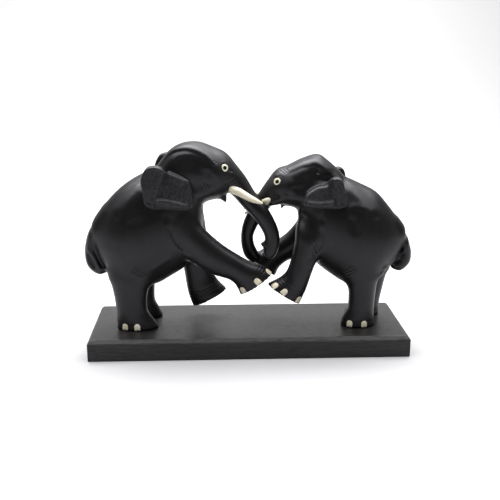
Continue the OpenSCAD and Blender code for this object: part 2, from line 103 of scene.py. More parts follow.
RIGHT = {
    "name": "right",
    "head_y": 3,
    "torso": [[159, 90, 152, 66, 0, 8], [159, 100, 146, 60, 0, 17], [152.5, 109, 132, 53, 0, 26],
        [143.5, 121, 117, 45, 0, 32], [129.5, 136.5, 100, 42.5, 0, 35], [112.5, 145.5, 84, 52, 0, 34],
        [97, 152.5, 69, 64, 0, 30.5], [86, 158, 57, 77, 0, 26.5], [77, 162, 51, 94, 1, 23],
        [68, 163, 51, 112, 1, 19]],
    "head": [[90, 157, 74, 130, 1, 14], [81.5, 166.5, 62, 121, 2, 21], [70, 174.5, 53, 119, 3, 25],
        [56, 171, 46.5, 121, 3, 25], [41, 164, 38, 122.5, 3, 22], [29, 159.7, 32, 125, 3, 17.5],
        [20, 149, 28, 127, 3, 14.5], [12, 137, 22.5, 120.5, 4.5, 10.5], [5, 125, 17, 112, 8, 8],
        [-0.5, 113.5, 12.5, 104.5, 10, 7], [-5, 102, 8.5, 96.5, 10.5, 6.8],
        [-7, 90, 5.7, 88.5, 10.5, 6.4], [-6.3, 77.5, 7, 79.5, 10.5, 6],
        [-2.5, 66.5, 9.7, 73.5, 10.5, 5.6], [5, 60, 12, 67, 10.5, 4.2]],
    "jaw": [[48, 140, 50, 119.5, 3, 13], [39, 137, 40, 124.5, 3, 9],
        [32.5, 130, 33.5, 118.5, 3, 5.5]],
    "near_lip": [[35, 140, 35, 126, -5, 8], [28.5, 138, 27.5, 124.5, -7, 7],
        [22.5, 134.5, 20.5, 124, -6.6, 5.8]],
    "far_lip": [[35, 140, 35, 126, 11, 8], [28.5, 138, 27.5, 124.5, 13, 7],
        [22.5, 134.5, 20.5, 124, 13.5, 5.8]],
    "tail": [[150.5, 109, 142, 102, 0, 13], [160, 96, 150, 92, 0, 14], [165.5, 84, 154, 82, 0, 13],
        [168.5, 72.5, 156, 74, 0, 11], [167, 61.5, 156, 69, 0, 9], [158.5, 53.3, 153, 64, 0, 7.5],
        [150, 55.5, 150, 63, 0, 5]],
    "near_fore": [[51.5, 117, 83, 99, -11, 11.5], [47, 104, 74, 84, -17, 12.5],
        [45.5, 88, 68, 70, -18.5, 12], [42.5, 73, 63.5, 58, -19, 11.5], [38, 59.5, 59, 43.5, -19, 11],
        [31, 52.5, 55.5, 34, -18.5, 11.5], [19, 46, 51.5, 24.8, -18, 12]],
    "far_fore": [[62, 118, 86, 92, 14, 12], [52, 103, 69, 76, 17, 12.5], [42, 90, 52, 64, 19, 12],
        [31, 81, 41, 58.5, 20.5, 11.5], [19, 73, 34, 52, 20.5, 11.5], [4, 65, 29.5, 43, 20.5, 12]],
    "near_hind": [[93, 86, 142, 84, -12, 14], [98, 54, 138, 58, -16, 13],
        [101.5, 42, 131.5, 48, -16.5, 12], [102.5, 30, 129.5, 32, -16.5, 11.5],
        [101.7, 19, 129, 18, -16.5, 11.5], [97, 9, 129.5, 9, -16.5, 11.7],
        [95.5, 3, 130, 3, -16.5, 12], [95.5, 0, 130, 0, -16.5, 12]],
    "far_hind": [[98, 86, 148, 82, 12, 14], [108, 54, 152, 56, 16, 13],
        [113, 42, 147.5, 44, 16.5, 12], [114.5, 30, 144.5, 30, 16.5, 11.5],
        [113.5, 19, 142.3, 18, 16.5, 11.5], [108, 9, 141.3, 9, 16.5, 11.7],
        [105, 3, 141.3, 3, 16.5, 12], [105, 0, 141.3, 0, 16.5, 12]],
    "ear": [[78, 154], [83, 156.5], [89, 154], [92, 142], [93, 128.5], [73, 127], [54, 128],
        [54.5, 138], [60, 143], [67, 146.5], [75, 148]],
    "ear_fold": [[78, 156], [79.5, 150], [82, 144], [83.5, 131]],
    "ear_ledge": [[57, 132], [69, 131], [82, 132.5]],
    "far_ear_shift": [11.5, 0.5],
    "eye": [28, 14.3, 149.2],
    "facing": -1,
    "nails": {"fore": [36, 77, 140], "hind": [54, 106]},
}
# What is joined to the torso and head, in this order: its fillet and how round its ends are
JOINED = {"jaw": (3, 1.5), "near_lip": (4, 1.5), "far_lip": (4, 1.5), "near_fore": (9, 1.5),
          "far_fore": (9, 1.5), "near_hind": (9, 1.5), "far_hind": (9, 1.5), "tail": (9, 1.5),
          "finger": (2, 1.0)}
NECK_FILLET, EAR_FILLET = 10, 1.6
EAR_FRONT_Y, EAR_REAR_Y, EAR_THICKNESS = 32, 34, 9
EAR_LEAN, LEAN_HEIGHT = 8, 24    # how far the plate's foot is out past its top, and over what
EAR_ROLL, EAR_CREASE, EAR_LEDGE, EAR_LIP, EAR_RIM = 2.6, 1.4, 1.2, 0.8, 1.4
EAR_LINE_W, EAR_LEDGE_W = 1.1, 1.5
PITCH = 1.15                     # size of the cells that the carvings' skin is found in
CLEAR = 14                       # distances beyond this make no difference
INNER = -1e3                     # stands for a place that is not past a limb's end
STEP_EDGE = 3.2                  # how far a step takes to drop
FADE = 9                         # length over which raised bands and steps fade in and out
SIDE_FADE = 4                    # how far round the flank the relief takes to reach full depth
SETTLE_REACH, LARGEST_MOVE = 3.5, 0.8

# Relief cut into the sides: kind, side, start y, width, depth, and the path or outline in x and
# z. A "line" is an engraved groove, a "swell" a soft raised band, a "hollow" a sunk area, and a
# "step" drops sharply on the right of its path and comes back slowly.
LEFT_RELIEF = [
    ("swell", BOTH, 6, 2.6, 0.8, [[-88, 169], [-80, 177.5], [-72, 182.5], [-61, 184.5], [-51, 182.5],
     [-42, 178], [-36, 172.5], [-32, 166], [-30, 160]]),
    ("step", BOTH, 6, 9, 1.5, [[-92, 160], [-88, 168], [-80, 176.5], [-72, 181.5], [-61, 183.5],
     [-51, 181.5], [-42, 177], [-37, 172], [-33.5, 166], [-34, 160], [-30, 154], [-24, 149]]),
    ("step", BOTH, 8, 8, 0.9, [[-82, 162], [-77, 169], [-71, 174], [-64, 177], [-56, 177.5],
     [-48, 175], [-42, 171], [-39, 166]]),
    ("hollow", BOTH, 8, 15.0, 4.6, [[-86, 158], [-80, 171], [-71, 179], [-60, 181], [-50, 179.5],
     [-41, 174.5], [-35, 167], [-31.5, 157], [-31, 146], [-42, 136], [-58, 136], [-74, 144]]),
    ("swell", BOTH, 2, 1.5, 0.6, [[-29.5, 167], [-25, 169.8], [-19.5, 168]]),
    ("line", BOTH, 4, 0.8, 1.2, [[-20.5, 162.5], [-17.5, 160.5]]),
    ("line", BOTH, 4, 0.7, 0.7, [[-24, 148.5], [-18.5, 150], [-15, 153]]),
    ("line", BOTH, 4, 0.7, 0.7, [[-23, 146], [-17.5, 147.8], [-14, 150.5]]),
    ("line", BOTH, 4, 0.6, 0.3, [[-37, 171], [-33.5, 168]]),
    ("line", BOTH, 4, 0.6, 0.3, [[-34.5, 172], [-31.5, 169.5]]),
    ("line", BOTH, 2, 0.8, 0.22, [[-50, 156], [-47, 149], [-43, 141]]),
    ("line", BOTH, 2, 0.8, 0.22, [[-46, 155], [-43.5, 149], [-39, 140]]),
    ("line", BOTH, 2, 0.8, 0.22, [[-42, 153], [-39.5, 148], [-35, 139.5]]),
    ("step", NEAR, 18, 11, 1.3, [[-61, 76], [-65, 81], [-72, 88], [-76.5, 96], [-80, 105],
     [-82, 111]]),
    ("step", FAR, 18, 11, 1.6, [[-73, 70], [-77, 82], [-83, 92], [-87, 102], [-89, 112]]),
    ("line", NEAR, 20, 0.7, 0.6, [[-70.5, 95], [-70, 87]]),
    ("line", NEAR, 20, 0.7, 0.6, [[-67.5, 92], [-66.5, 84.5]]),
    ("line", NEAR, 20, 0.7, 0.4, [[-73.5, 97], [-73, 91]]),
    ("line", BOTH, 20, 0.7, 0.5, [[-115.5, 64], [-109, 59.5], [-105, 57]]),
    ("line", BOTH, 20, 0.7, 0.5, [[-114.5, 68], [-108, 63.5], [-103, 58.5]]),
    ("line", BOTH, 20, 0.7, 0.4, [[-110.5, 70], [-105.5, 65]]),
    ("hollow", BOTH, 18, 15.0, 1.5, [[-101, 142], [-113, 132], [-122, 126], [-128, 114], [-118, 107],
     [-100, 110], [-86, 116], [-88, 128]]),
    ("swell", BOTH, 12, 6.0, 1.5, [[-103, 150], [-114, 139], [-123, 129], [-128, 118]]),
    ("swell", BOTH, 16, 3.0, 0.7, [[-101, 61], [-87, 71], [-74, 79]]),
    ("swell", BOTH, 2, 1.8, 1.2, [[-162, 86], [-156, 75], [-152, 65], [-149, 60], [-143, 61],
     [-137, 67]]),
    ("hollow", BOTH, 2, 3.0, 3.0, [[-161.5, 80], [-156.5, 71], [-153.5, 62], [-156.5, 59.5],
     [-161, 65], [-163, 73]]),
]
RIGHT_RELIEF = [
    ("swell", BOTH, 6, 3.2, 0.8, [[33.5, 160.5], [39, 163.5], [44.5, 165], [51, 167.5], [58, 169],
     [64, 170], [70, 167.5], [76, 163], [83, 158]]),
    ("step", BOTH, 6, 9, 1.1, [[34, 157.5], [40, 160.5], [44.5, 162.5], [51, 165.5], [58, 167],
     [64, 168.5], [70, 166], [76, 161], [83, 156], [88, 150]]),
    ("step", BOTH, 8, 8, 0.8, [[55, 159], [60, 164], [64, 162.5], [68.5, 162.5], [73, 159],
     [77, 154]]),
    ("hollow", BOTH, 8, 14.0, 4.2, [[84, 149], [77, 159], [70, 165], [63, 167], [55, 165], [46, 162],
     [38, 157], [36, 149], [36, 140], [46, 132], [60, 134], [74, 142]]),
    ("hollow", BOTH, 4, 1.5, 1.5, [[64, 162.5], [66.5, 157], [69, 157], [69, 162]]),
    ("hollow", BOTH, 2, 8.0, 0.9, [[46, 148], [40, 144], [35, 139], [34, 134], [40, 131], [48, 134]]),
    ("step", BOTH, 2, 8, 0.9, [[29, 131.5], [32, 135.5], [36, 139.5], [42, 142]]),
    ("swell", BOTH, 2, 1.5, 0.6, [[32, 152.5], [28, 154.8], [22.5, 153]]),
    ("line", BOTH, 4, 0.7, 0.5, [[31, 159.5], [35, 157]]),
    ("line", BOTH, 4, 0.7, 0.5, [[33, 161], [37, 158]]),
    ("line", BOTH, 4, 0.7, 0.4, [[35.3, 162.2], [38.5, 159.5]]),
    ("line", BOTH, 4, 0.7, 0.4, [[21.5, 140], [25, 137], [28, 134.5]]),
    ("line", BOTH, 4, 0.7, 0.4, [[23.5, 141.5], [27, 138.5], [30, 136]]),
    ("swell", BOTH, 18, 3.5, 0.9, [[91, 126], [96, 124.5], [102, 127], [109, 126], [117, 121]]),
    ("hollow", BOTH, 18, 13.0, 2.0, [[93, 118], [102, 122], [110, 116], [112, 101], [102, 96],
     [94, 104]]),
    ("step", NEAR, 18, 11, 1.6, [[74, 108], [75.5, 96], [74, 87], [68, 77], [63, 69]]),
    ("step", FAR, 18, 11, 1.6, [[80, 112], [79, 98], [73, 86], [65, 75]]),
    ("line", NEAR, 20, 0.7, 0.6, [[61.5, 86], [63.5, 78]]),
    ("line", NEAR, 20, 0.7, 0.6, [[63.5, 89], [66.5, 81]]),
    ("line", NEAR, 20, 0.7, 0.4, [[66, 91], [68.5, 84.5]]),
    ("line", BOTH, 20, 0.7, 0.5, [[97, 57.5], [105.5, 63.5]]),
    ("line", BOTH, 20, 0.7, 0.5, [[96, 60], [102, 66]]),
    ("line", BOTH, 20, 0.7, 0.4, [[99, 54.5], [106.5, 61]]),
    ("swell", BOTH, 12, 6.0, 1.4, [[93, 148], [103, 140], [115, 126], [125, 117]]),
    ("swell", BOTH, 2, 2.2, 1.0, [[131, 60], [139, 62.5], [147, 67], [156, 75], [160, 84]]),
    ("step", BOTH, 2, 8, 2.4, [[161, 83], [157, 74], [148, 65.5], [140, 61]]),
]
# Shares of the way up the leg from the sole at which rings are engraved round each foot
FOOT_RINGS = {"fore": [0.66, 0.9, 1.15], "hind": [1.3, 1.65]}
RING_W, RING_DEPTH = 0.8, 0.27

TUSKS = {
    "left_near": [[-16, -15.2, 142.2, 1], [-10, -17.5, 140.3, 1], [-2, -19.5, 136, 0.88],
                  [6, -21.5, 132.3, 0.66], [12, -23, 130.4, 0.28]],
    "left_far": [[-16, 11.2, 142.2, 1], [-10, 13, 140.3, 1], [-2, 14.5, 136, 0.88],
                 [6, 16, 132.3, 0.66], [12, 17.5, 130.4, 0.28]],
    "right_near": [[25, -7.5, 131.3, 1], [18.5, -5, 128.8, 0.94], [11, 0.6, 124, 0.76],
                   [4, 0.8, 119, 0.58], [-2.5, 0.5, 115.3, 0.3]],
    "right_far": [[25, 14.5, 131.5, 1], [18.5, 18, 128.8, 0.96], [11, 21.5, 124, 0.82],
                  [4, 22.5, 119, 0.6], [-3, 22.5, 115.5, 0.3]],
}
TUSK_R = 3.9
EYE_R, PUPIL_R, EYE_DEPTH, EYE_PROUD = 3.6, 1.9, 3.0, 0.6
EYE_TURN, EYE_TILT = math.radians(22), math.radians(12)
NAIL_W, NAIL_H, NAIL_T = 6.0, 7.0, 2.4
CHAMFER, SOFT_EDGE, SHARP = 3.3, 0.45, math.radians(28)
# Low and high corners of the space that each carving's skin is looked for in
LEFT_SPACE = ([-170, -40, -4], [36, 40, 194])
RIGHT_SPACE = ([-11, -40, -4], [175, 40, 181])


# ---- Distances to carved forms: x and z may be planes and y a column that crosses them ----
def through(a, b, c, d, t):
    """A value between b and c on the smooth curve through a, b, c and d."""
    return b + 0.5 * t * (c - a + t * (2 * a - 5 * b + 4 * c - d + t * (3 * (b - c) + d - a)))


def rounded_path(points, steps=4, closed=False):
    """The given points or sections with smooth ones between them."""
    p = np.array(points, float)
    n = len(p)
    rows = []
    for i in range(n if closed else n - 1):
        if closed:
            a, b, c, d = p[i - 1], p[i], p[(i + 1) % n], p[(i + 2) % n]
        else:
            a, b, c, d = p[max(i - 1, 0)], p[i], p[i + 1], p[min(i + 2, n - 1)]
        rows += [through(a, b, c, d, j / steps) for j in range(steps)]
    return [list(r) for r in rows] + ([] if closed else [list(p[-1])])


def only_near(x, y, z, low, high, form, outside):
    """The form's values inside a box, and one value everywhere outside it, to save work."""
    result = np.full(np.broadcast(x, y, z).shape, float(outside))
    if x.ndim == 3:
        cuts = [slice(*np.searchsorted(line.ravel(), (a, b)))
                for line, a, b in zip((x, y, z), low, high)]
        if all(cut.stop > cut.start for cut in cuts):
            result[tuple(cuts)] = form(x[cuts[0]], y[:, cuts[1]], z[:, :, cuts[2]])
        return result
    inside = np.ones(len(x), bool)
    for line, a, b in zip((x, y, z), low, high):
        inside &= (line > a) & (line < b)
    if inside.any():
        result[inside] = form(x[inside], y[inside], z[inside])
    return result


def loft(x, y, z, sections, steps=5, rim=1.5):
    """Distance to the limb that has these sections, or a large one far from it."""
    s = np.array(rounded_path(sections, steps))
    low = [min(s[:, 0].min(), s[:, 2].min()), (s[:, 4] - s[:, 5]).min(), s[:, [1, 3]].min()]
    high = [max(s[:, 0].max(), s[:, 2].max()), (s[:, 4] + s[:, 5]).max(), s[:, [1, 3]].max()]
    return only_near(x, y, z, np.array(low) - CLEAR, np.array(high) + CLEAR,
                     lambda a, b, c: limb(a, b, c, s, rim), CLEAR)


def limb(x, y, z, s, rim):
    """Distance to a stack of oval sections, with rounded rims at its flat ends."""
    middle = (s[:, 0:2] + s[:, 2:4]) / 2
    up = (s[:, 0:2] - s[:, 2:4]) / 2
    half = np.hypot(up[:, 0], up[:, 1])
    up = up / half[:, None]
    ahead = np.stack([up[:, 1], -up[:, 0]], 1)
    ahead = ahead * np.sign((ahead * np.gradient(middle, axis=0)).sum())
    shape = np.broadcast(x, z).shape
    best = np.full(shape, np.inf)
    # offset along the long axis, its half length, centre y, half width, distance past an end
    found = [np.full(shape, value) for value in (0.0, 1.0, 0.0, 1.0, -np.inf)]

    def keep(where, values):
        score = np.maximum(np.abs(values[0]) - values[1], 0) + np.maximum(values[4], 0)
        better = where & (score < best)
        best[better] = score[better]
        for store, value in zip(found, values):
            store[better] = np.broadcast_to(value, shape)[better]

    past = along = None
    inner = np.full(shape, INNER)
    for i in range(len(s)):
        dx, dz = x - middle[i, 0], z - middle[i, 1]
        beyond_i = dx * ahead[i, 0] + dz * ahead[i, 1]
        along_i = dx * up[i, 0] + dz * up[i, 1]
        if i == 0:
            keep(beyond_i < 0, [along_i, half[0], s[0, 4], s[0, 5], -beyond_i])
        else:
            between = (past >= 0) & (beyond_i < 0)
            t = np.where(between, past / np.where(between, past - beyond_i, 1), 0)
            values = ((along, along_i), half[i - 1:i + 1], s[i - 1:i + 1, 4], s[i - 1:i + 1, 5])
            keep(between, [a + (b - a) * t for a, b in values] + [inner])
        past, along = beyond_i, along_i
    keep(past >= 0, [along, half[-1], s[-1, 4], s[-1, 5], past])

    offset, half_length, centre_y, half_width, end = found
    across = y - centre_y
    reach = np.sqrt((offset / half_length) ** 2 + (across / half_width) ** 2)
    slope = np.sqrt((offset / half_length ** 2) ** 2 + (across / half_width ** 2) ** 2) + 1e-9
    side = np.maximum(reach * (reach - 1) / slope, -np.minimum(half_length, half_width))
    return np.where(end > INNER / 2, rounded_corner(end, side, rim), side)


def rounded_corner(a, b, rim):
    """What lies in both forms, with their common corner rounded."""
    a, b = a + rim, b + rim
    return np.hypot(np.maximum(a, 0), np.maximum(b, 0)) + np.minimum(np.maximum(a, b), 0) - rim


def join(a, b, fillet):
    """The two forms as one, with a smooth fillet where they meet."""
    h = np.maximum(fillet - np.abs(a - b), 0) / fillet
    return np.minimum(a, b) - h * h * fillet / 4


def from_stretch(x, z, a, b):
    """Distance in the side view to one straight stretch, and a value above 0 on its right."""
    run = (b[0] - a[0], b[1] - a[1])
    dx, dz = x - a[0], z - a[1]
    t = np.clip((dx * run[0] + dz * run[1]) / (run[0] ** 2 + run[1] ** 2), 0, 1)
    return np.hypot(dx - t * run[0], dz - t * run[1]), dx * run[1] - dz * run[0]


def path_distance(x, z, path, closed=False):
    """Distance in the side view to a path of straight stretches."""
    best = np.full(np.broadcast(x, z).shape, np.inf)
    for a, b in zip(path, path[1:] + ([path[0]] if closed else [])):
        best = np.minimum(best, from_stretch(x, z, a, b)[0])
    return best


def below_path(x, z, path):
    """Distance to a path on its right-hand side, and less than 0 on the other side."""
    best = np.full(np.broadcast(x, z).shape, np.inf)
    right = np.zeros(best.shape)
    for a, b in zip(path, path[1:]):
        gap, beside = from_stretch(x, z, a, b)
        closer = gap < best
        best = np.where(closer, gap, best)
        right = np.where(closer, beside, right)
    return best * np.where(right > 0, 1, -1)


def outline_distance(x, z, outline):
    """Distance in the side view to a closed outline, negative inside it."""
    inside = np.zeros(np.broadcast(x, z).shape, bool)
    for a, b in zip(outline, outline[1:] + [outline[0]]):
        if a[1] != b[1]:
            crosses = (a[1] > z) != (b[1] > z)
            inside ^= crosses & (x < a[0] + (z - a[1]) * (b[0] - a[0]) / (b[1] - a[1]))
    return np.where(inside, -1, 1) * path_distance(x, z, outline, closed=True)


def ease(value):
    """0 below 0, 1 above 1 and smooth between."""
    t = np.clip(value, 0, 1)
    return t * t * (3 - 2 * t)


def side_share(y, side, start, middle_y):
    """1 on the flank beyond start from the middle plane, 0 nearer the middle."""
    reach = np.abs(y - middle_y) if side == BOTH else side * y
    return ease((reach - start) / SIDE_FADE)


def relief_depth(x, y, z, relief, head_y):
    """How deep the relief cuts at each point: positive for grooves, negative for swells."""
    total = 0
    for kind, side, start, width, depth, points in relief:
        path = rounded_path(points, closed=kind == "hollow") if len(points) > 2 else points
        corners = np.array(path)
        low = [corners[:, 0].min() - 3 * width, -60, corners[:, 1].min() - 3 * width]
        high = [corners[:, 0].max() + 3 * width, 60, corners[:, 1].max() + 3 * width]

        def cut(a, b, c):
            if kind == "hollow":
                shape = depth * ease(-outline_distance(a, c, path) / width)
            elif kind == "line":
                shape = depth * np.exp(-(path_distance(a, c, path) / width) ** 2)
            else:
                if kind == "step":
                    below = below_path(a, c, path)
                    shape = depth * ease(below / STEP_EDGE) * np.exp(-(below / width) ** 2)
                else:
                    shape = -depth * np.exp(-(path_distance(a, c, path) / width) ** 2)
                to_ends = [np.hypot(a - end[0], c - end[1]) for end in (path[0], path[-1])]
                shape = shape * ease(np.minimum(*to_ends) / FADE)
            return shape * side_share(b, side, start, head_y)

        total = total + only_near(x, y, z, low, high, cut, 0)
    return total


def ear(x, y, z, carving, side):
    """Distance to one ear, or a large one far from it."""
    shift = carving["far_ear_shift"] if side == FAR else [0, 0]
    corners = np.array(carving["ear"]) + shift
    low = [corners[:, 0].min() - 5, -45, corners[:, 1].min() - 5]
    high = [corners[:, 0].max() + 5, 45, corners[:, 1].max() + 5]
    return only_near(x, y, z, low, high,
                     lambda a, b, c: ear_plate(a - shift[0], b, c - shift[1], carving, side), CLEAR)


def ear_plate(x, y, z, carving, side):
    """A thick ear hinged at its front edge: a rolled rear lobe, a fold, a plate that leans out
    towards its foot, and a thick bottom ledge."""
    outline = rounded_path(carving["ear"], 3, closed=True)
    fold = np.array(carving["ear_fold"])[::-1]
    reach = np.abs(np.array(carving["ear"])[:, 0])
    front, rear = reach.min(), reach.max()
    back = np.abs(x)
    share = np.clip((back - front) / (rear - front), 0, 1)
    fold_x = np.interp(z, fold[:, 1], np.abs(fold[:, 0]))
    edge = outline_distance(x, z, outline)
    behind = back - fold_x
    lobe = np.clip(behind / np.maximum(rear - fold_x, 1), 0, 1)
    roll = np.where(behind > 0, EAR_ROLL * np.sqrt(np.maximum(lobe * (1.7 - lobe), 0)), 0)
    crease = EAR_CREASE * np.exp(-(path_distance(x, z, carving["ear_fold"]) / EAR_LINE_W) ** 2)
    ledge_line = rounded_path(carving["ear_ledge"])
    ledge_z = np.interp(x, *np.array(ledge_line).T)
    lean = EAR_LEAN * np.clip((z - ledge_z) / LEAN_HEIGHT, 0, 1) * ease(-behind / 3)
    ledge = EAR_LEDGE * np.exp(-(path_distance(x, z, ledge_line) / EAR_LEDGE_W) ** 2)
    lip = EAR_LIP * np.exp(-((edge + EAR_RIM) / EAR_LINE_W) ** 2) * (behind > 0)
    plate = EAR_FRONT_Y + (EAR_REAR_Y - EAR_FRONT_Y) * share
    outer = plate + roll - crease + ledge - lean + lip
    inner = plate - EAR_THICKNESS - lean
    return rounded_corner(edge, np.maximum(side * y - outer, inner - side * y), EAR_RIM)


def side_of(leg):
    """The side that a leg is on."""
    return NEAR if leg.startswith("near") else FAR


def foot_rings(carving):
    """Paths of the rings engraved round each foot, with the side that each leg is on."""
    rings = []
    for leg in LEGS:
        s = np.array(carving[leg], float)
        for share in FOOT_RINGS[leg.split("_")[1]]:
            whole = int(share)
            a, b = s[-1 - whole], s[-2 - whole]
            at = a + (share - whole) * (b - a)
            sag = 0.06 * (a[0:2] + a[2:4] - b[0:2] - b[2:4])
            middle = (at[0:2] + at[2:4]) / 2 + sag
            rings.append((side_of(leg), [list(at[0:2]), list(middle), list(at[2:4])]))
    return rings


def carved_form(carving, relief):
    """A function that gives the distance to the whole carving."""
    rings = [("line", side, 0, RING_W, RING_DEPTH, path) for side, path in foot_rings(carving)]

    def distance(x, y, z):
        body = join(loft(x, y, z, carving["torso"]), loft(x, y, z, carving["head"]), NECK_FILLET)
        for part, (fillet, rim) in JOINED.items():
            if part in carving:
                body = join(body, loft(x, y, z, carving[part], rim=rim), fillet)
        body = body + relief_depth(x, y, z, relief, carving["head_y"])
        body = body + relief_depth(x, y, z, rings, 0)
        for side in (NEAR, FAR):
            body = join(body, ear(x, y, z, carving, side), EAR_FILLET)
        return body

    return distance


# ---- Meshes ----
def skin_over(distance, low, high, pitch):
    """Points and four-cornered faces of the surface where the distance is zero."""
    axes = [np.arange(low[i], high[i] + pitch, pitch) for i in range(3)]
    d = distance(axes[0][:, None, None], axes[1][None, :, None], axes[2][None, None, :])
    inside = d < 0
    cells = np.zeros([n - 1 for n in d.shape], np.int8)
    corners = [(i, j, k) for i in (0, 1) for j in (0, 1) for k in (0, 1)]
    nx, ny, nz = cells.shape
    for i, j, k in corners:
        cells += inside[i:i + nx, j:j + ny, k:k + nz]
    cut = np.argwhere((cells > 0) & (cells < 8))
    number = np.full(cells.shape, -1, np.int64)
    number[tuple(cut.T)] = np.arange(len(cut))

    total = np.zeros((len(cut), 3))
    count = np.zeros(len(cut))
    faces = []
    for axis in range(3):
        step = np.eye(3, dtype=int)[axis]
        for corner in (c for c in corners if c[axis] == 0):
            a = cut + corner
            va, vb = d[tuple(a.T)], d[tuple((a + step).T)]
            crosses = (va < 0) != (vb < 0)
            t = np.where(crosses, va / np.where(crosses, va - vb, 1), 0)
            total += np.where(crosses[:, None], a + t[:, None] * step, 0)
            count += crosses
        first = np.moveaxis(inside, axis, 0)
        changes = np.moveaxis(first[:-1] != first[1:], 0, axis)
        edges = np.argwhere(changes)
        one, two = np.eye(3, dtype=int)[(axis + 1) % 3], np.eye(3, dtype=int)[(axis + 2) % 3]
        ring = [edges - one - two, edges - two, edges, edges - one]
        quads = np.stack([number[tuple(r.T)] for r in ring], 1)
        leaving = inside[tuple(edges.T)]
        faces.append(np.where(leaving[:, None], quads, quads[:, ::-1]))
    points = np.array(low) + pitch * total / count[:, None]
    return points, np.concatenate(faces)


def slope_of(distance, points, step=0.15):
    """Unit direction in which the distance grows, at each point."""
    columns = []
    for axis in range(3):
        shift = np.zeros(3)
        shift[axis] = step
        columns.append(distance(*(points + shift).T) - distance(*(points - shift).T))
    grown = np.stack(columns, 1)
    return grown / (np.linalg.norm(grown, axis=1)[:, None] + 1e-9)


def place(points):
    """Millimetres above the plinth's top become metres in the frame."""
    return (np.asarray(points, float) + [0, 0, PLINTH_TOP]) * MM


def in_mm(vertices):
    """Where these mesh vertices are, in millimetres above the plinth's top."""
    return np.array([v.co for v in vertices]) / MM - [0, 0, PLINTH_TOP]


def new_mesh(name, points, faces):
    """A mesh of these points and faces."""
    mesh = bpy.data.meshes.new(name)
    mesh.from_pydata([tuple(p) for p in points], [], [tuple(f) for f in faces])
    return mesh


def add_object(name, data):
    """An object with this data, in the scene."""
    made = bpy.data.objects.new(name, data)
    bpy.context.scene.collection.objects.link(made)
    return made


def hand_in(piece, node):
    """The piece rides with the object and stands for its CAD node."""
    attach(piece, "root")
    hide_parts(node)


def new_piece(name, points, faces, material, node):
    """A smooth mesh piece that stands for its CAD node, from points in millimetres."""
    mesh = new_mesh(name, place(points), faces)
    mesh.validate()
    mesh.shade_smooth()
    mesh.materials.append(material)
    piece = add_object(name, mesh)
    hand_in(piece, node)
    return piece


def finer_near_lines(mesh, close_to_line, distance):
    """Splits the faces that an engraved line crosses, and settles their points on the form."""
    form = bmesh.new()
    form.from_mesh(mesh)
    close = close_to_line(in_mm(form.verts))
    edges = [e for e in form.edges if close[e.verts[0].index] or close[e.verts[1].index]]
    bmesh.ops.subdivide_edges(form, edges=edges, cuts=1, use_grid_fill=True)
    form.verts.index_update()
    points = in_mm(form.verts)
    chosen = np.flatnonzero(close_to_line(points, SETTLE_REACH))
    moved = points[chosen]
    for _ in range(2):
        gap = np.clip(distance(*moved.T), -LARGEST_MOVE, LARGEST_MOVE)
        moved = moved - gap[:, None] * slope_of(distance, moved)
    form.verts.ensure_lookup_table()
    for index, co in zip(chosen, place(moved)):
        form.verts[index].co = co
    form.to_mesh(mesh)
    form.free()


def carve(carving, relief, low, high, material):
    """One whole elephant as a single skin. Gives the function of its distances."""
    distance = carved_form(carving, relief)
    points, faces = skin_over(distance, low, high, PITCH)
    name = carving["name"] + "_elephant"
    piece = new_piece(name + "_carving", points, faces, material, name)

    lines = [(side, start, rounded_path(path) if len(path) > 2 else path)
             for kind, side, start, width, depth, path in relief if kind == "line"]
    lines += [(side, 0, rounded_path(path)) for side, path in foot_rings(carving)]

    def close_to_line(p, reach=1.5):
        close = np.zeros(len(p), bool)
        for side, start, path in lines:
            beyond = np.abs(p[:, 1]) if side == BOTH else side * p[:, 1]
            close |= (path_distance(p[:, 0], p[:, 2], path) < reach) & (beyond > start - 1)
        return close

    finer_near_lines(piece.data, close_to_line, distance)
    piece.data.shade_smooth()
    mark_ridges_and_ears(piece.data, distance, carving)
    return distance


def mark_ridges_and_ears(mesh, distance, carving):
    """Stores how far each point stands out on a ridge (above 0) or lies in a hollow (below 0), which
    the ebony uses for a paler colour, partly worn wood and partly painted sheen, and which points
    lie on an ear, where the ebony paints its tool strokes paler as painted light."""
    points = in_mm(mesh.vertices)
    normals = np.array([v.normal for v in mesh.vertices])
    depth = 2.0
    stand_out = (distance(*(points - depth * normals).T) + depth) / depth
    ears = [ear(*points.T, carving, side) for side in (NEAR, FAR)]
    on_ear = 1 - ease((np.minimum(*ears) - 0.1) / 0.8)
    for name, values in (("ridge", np.clip(stand_out, -1, 1)), ("tooled_painted_light", on_ear)):
        attribute = mesh.attributes.new(name, "FLOAT", "POINT")
        attribute.data.foreach_set("value", values.astype(np.float32))


def ring_faces(rings, sides, closed=False):
    """Faces between rings of points that follow each other. Fans round two more points after the
    rings close the first and the last one."""
    faces = [(r * sides + i, (r + 1) * sides + i, (r + 1) * sides + (i + 1) % sides,
              r * sides + (i + 1) % sides) for r in range(rings - 1) for i in range(sides)]
    if closed:
        last, hub = (rings - 1) * sides, rings * sides
        faces += [(hub, i, (i + 1) % sides) for i in range(sides)]
        faces += [(hub + 1, last + (i + 1) % sides, last + i) for i in range(sides)]
    return faces


